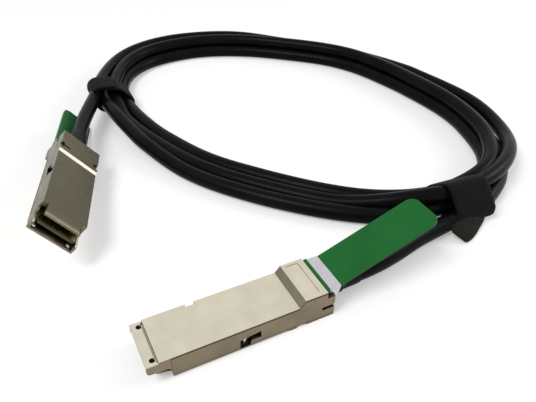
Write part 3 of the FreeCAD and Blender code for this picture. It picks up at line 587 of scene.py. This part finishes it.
# %% A strap led through places, with a width of its own at each
def strap_strip(name, places, columns=6, flap_rows=0):
    """A strap through (centre, direction across, width), with its last rows in the flap's paler felt."""
    work = bmesh.new()
    rng = random.Random(11)
    rows = len(places) - 1
    bmesh.ops.create_grid(work, x_segments=columns, y_segments=rows, size=0.5)
    for f in work.faces:
        f.material_index = int((f.calc_center_median().y + 0.5) * rows >= rows - flap_rows)
    for v in work.verts:
        centre, across, width = places[round((v.co.y + 0.5) * rows)]
        v.co = centre + across * (width * v.co.x * rng.uniform(0.98, 1.02))
    bmesh.ops.recalc_face_normals(work, faces=work.faces)
    data = bpy.data.meshes.new(name)
    work.to_mesh(data)
    work.free()
    data.transform(Matrix.Scale(MM, 4))
    data.shade_smooth()
    data.materials.append(tie_black)
    data.materials.append(tie_olive)
    strap = bpy.data.objects.new(name, data)
    bpy.context.scene.collection.objects.link(strap)
    thick = strap.modifiers.new("thickness", "SOLIDIFY")
    thick.thickness = STRAP_THICKNESS * MM
    thick.offset = 0.0
    round_off = strap.modifiers.new("round_off", "SUBSURF")
    round_off.levels = 1
    round_off.render_levels = 1
    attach(strap, "cable_assembly")
    print(name, "places:", len(places))
    return strap


def round_bundle(degrees, strands, width, turns_round, begin):
    """The places of a strap that goes round the bundle at that angle of the coil."""
    turn = math.radians(degrees)
    foot, outward = oval_point(turn), oval_outward(turn)
    along = Vector((0.0, 0.0, 1.0)).cross(outward)
    return [(foot + outward * out + Vector((0.0, 0.0, up)), along, width)
            for out, up in strap_line(strands, turns_round, begin)]


# %% The tie at the left end of the coil
left_places = round_bundle(149.0, [(0, 4.5), (4.5, 9.5), (10.5, 6.5), (12, 11)], 14.5, 1.30, 0.35)
tie_left = strap_strip("tie_left_strap", left_places)
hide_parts("tie_left")

# %% The tie at the right end, with its tail led down to the table
right_places = round_bundle(-76.5, [(16.5, 5), (9.5, 5), (2.5, 5), (10.5, 11)], 19.0, 1.075, 0.10)
TAIL_EDGES = [
    ((147.6, 5.6, 2.0), (137.5, 6.6, 8.8)), ((142.6, 3.4, 1.1), (134.5, 7.4, 7.4)),
    ((138.0, 0.6, 0.8), (131.0, 7.6, 6.6)), ((133.4, -1.6, 0.8), (128.6, 6.0, 5.0)),
    ((129.8, -2.2, 0.8), (126.6, 3.6, 3.4)),
]
for low, high in TAIL_EDGES:
    low, high = Vector(low), Vector(high)
    right_places.append(((low + high) / 2, (low - high).normalized(), (low - high).length))
tie_right = strap_strip("tie_right_strap", right_places, flap_rows=len(TAIL_EDGES) - 1)
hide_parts("tie_right")

# %% [markdown]
# ## The table and the light
#
# The cable lies on a plain white table that reaches out of sight. White is the colour of
# the table and the world, seen by the camera and by reflections; the lamps stay level.
# One large soft lamp high on the left gives the broad faces their glow, and a weaker one
# low on the right puts a narrow light along the strands.


# %% The table
def white_when_seen(tree, light, seen, lamp_side):
    """Mix two shaders: one for the camera and for reflections, the other for the light."""
    path = tree.nodes.new("ShaderNodeLightPath")
    either = tree.nodes.new("ShaderNodeMath")
    either.operation = "MAXIMUM"
    third = tree.nodes.new("ShaderNodeMath")
    third.operation = "MAXIMUM"
    tree.links.new(path.outputs["Is Camera Ray"], either.inputs[0])
    tree.links.new(path.outputs["Is Glossy Ray"], either.inputs[1])
    tree.links.new(either.outputs["Value"], third.inputs[0])
    tree.links.new(path.outputs["Is Transmission Ray"], third.inputs[1])
    mix = tree.nodes.new("ShaderNodeMixShader")
    tree.links.new(third.outputs["Value"], mix.inputs["Fac"])
    tree.links.new(light, mix.inputs[1])
    tree.links.new(seen, mix.inputs[2])
    tree.links.new(mix.outputs["Shader"], lamp_side)


table_paint = bpy.data.materials.new("table_white")
table_paint.use_nodes = True
tree = table_paint.node_tree
tree.nodes.remove(tree.nodes["Principled BSDF"])
plain = tree.nodes.new("ShaderNodeBsdfDiffuse")
plain.inputs["Color"].default_value = (0.80, 0.80, 0.80, 1.0)
glow = tree.nodes.new("ShaderNodeEmission")
glow.inputs["Color"].default_value = (1.0, 1.0, 1.0, 1.0)
glow.inputs["Strength"].default_value = 0.34
both = tree.nodes.new("ShaderNodeAddShader")
tree.links.new(plain.outputs["BSDF"], both.inputs[0])
tree.links.new(glow.outputs["Emission"], both.inputs[1])
white_when_seen(tree, plain.outputs["BSDF"], both.outputs["Shader"],
                tree.nodes["Material Output"].inputs["Surface"])

table_work = bmesh.new()
bmesh.ops.create_grid(table_work, x_segments=4, y_segments=4, size=3.0)
table_data = bpy.data.meshes.new("table")
table_work.to_mesh(table_data)
table_work.free()
table_data.transform(Matrix.Translation((0.1, 0.1, 0.0)))
table_data.materials.append(table_paint)
table = bpy.data.objects.new("table", table_data)
bpy.context.scene.collection.objects.link(table)

# %% The world behind the table
world = bpy.data.worlds.new("studio")
bpy.context.scene.world = world
world.use_nodes = True
tree = world.node_tree
room = tree.nodes["Background"]
room.inputs["Color"].default_value = (1.0, 1.0, 1.0, 1.0)
room.inputs["Strength"].default_value = 0.42
seen = tree.nodes.new("ShaderNodeBackground")
seen.inputs["Color"].default_value = (1.0, 1.0, 1.0, 1.0)
seen.inputs["Strength"].default_value = 1.0
white_when_seen(tree, room.outputs["Background"], seen.outputs["Background"],
                tree.nodes["World Output"].inputs["Surface"])


# %% The lamps
def soft_lamp(name, place, aim, size, watts):
    """A square softbox at that place, aimed at a point."""
    data = bpy.data.lights.new(name, "AREA")
    data.shape = "SQUARE"
    data.size = size
    data.energy = watts
    lamp = bpy.data.objects.new(name, data)
    lamp.location = place
    lamp.rotation_euler = (Vector(aim) - Vector(place)).to_track_quat("-Z", "Y").to_euler()
    bpy.context.scene.collection.objects.link(lamp)
    return lamp


MIDDLE = (0.09, 0.09, 0.0)
soft_lamp("softbox_left", (-0.55, -0.10, 0.95), MIDDLE, 0.45, 6.0)
soft_lamp("softbox_right", (0.90, -0.10, 0.45), MIDDLE, 0.40, 2.5)
bpy.context.scene.view_settings.view_transform = "Standard"
